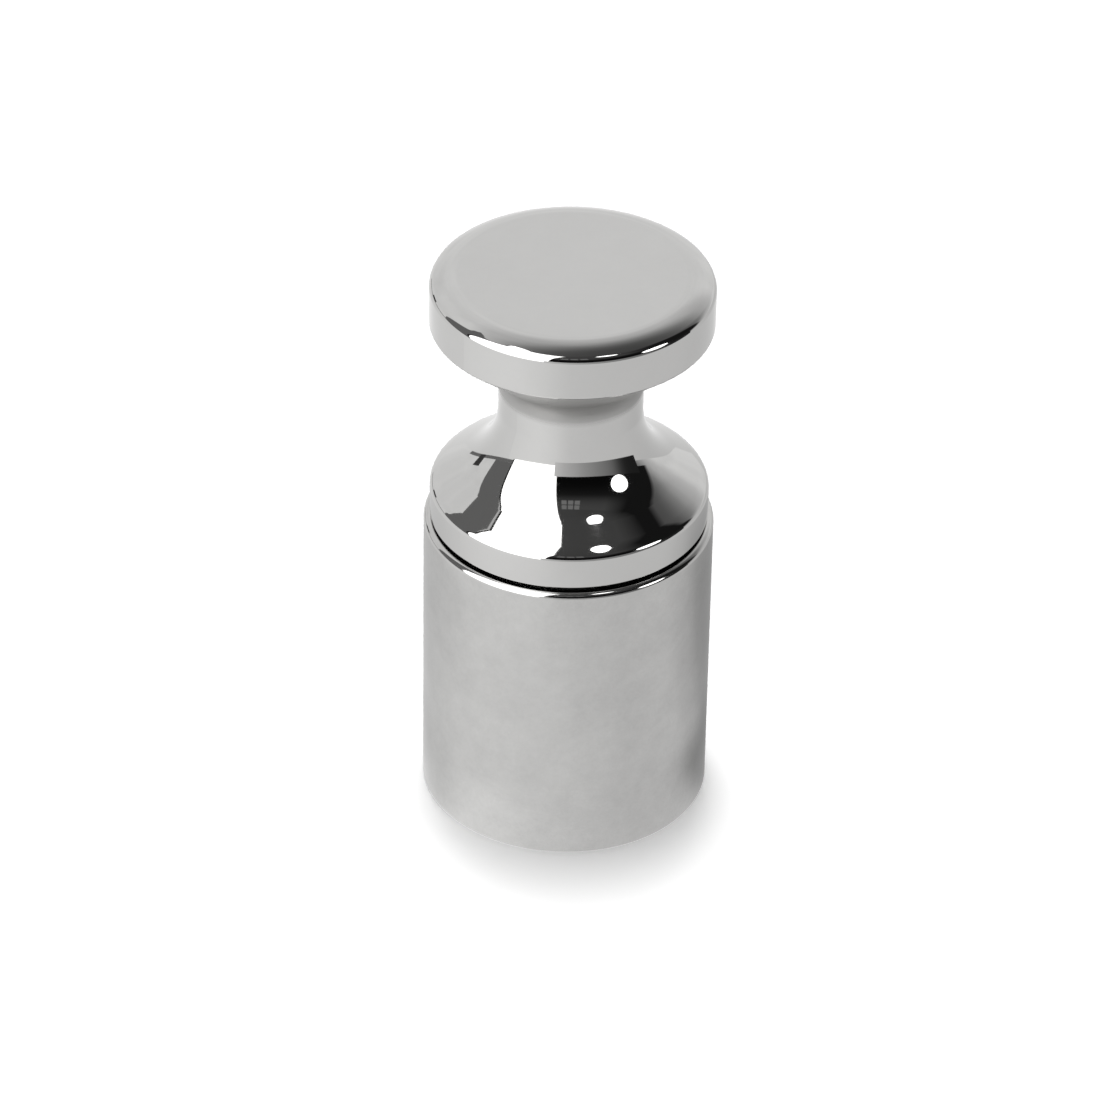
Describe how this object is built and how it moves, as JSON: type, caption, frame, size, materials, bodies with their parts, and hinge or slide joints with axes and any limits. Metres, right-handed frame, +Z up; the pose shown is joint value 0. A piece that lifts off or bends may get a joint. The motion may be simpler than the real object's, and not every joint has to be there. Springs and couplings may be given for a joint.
{
  "type": "calibration weight",
  "caption": "Cylindrical knob weight of polished stainless steel: a screw-in knob with a disc head, waist and conical shoulder closes an adjusting cavity in the cylinder.",
  "frame": {"origin": "centre of the base, on the surface that the weight stands on", "axes": "+Z up along the weight's axis, from the base to the head; X and Y lie in the base, and the weight is round, so they have no preferred direction"},
  "size_m": [0.022, 0.022, 0.0456],
  "materials": {
    "cylinder_steel": "polished stainless steel, with a faint haze",
    "knob_steel": "mirror polished stainless steel",
    "shot_steel": "tumbled stainless steel balls"
  },
  "bodies": {
    "weight_body": {"weight_body": "cylinder_steel", "adjusting_shot": "shot_steel"},
    "knob": {"knob": "knob_steel"}
  },
  "joints": [
    {"name": "knob_lift", "type": "slide", "parent": "weight_body", "child": "knob", "axis": [0, 0, 1], "range_m": [0, 0.012]}
  ]
}
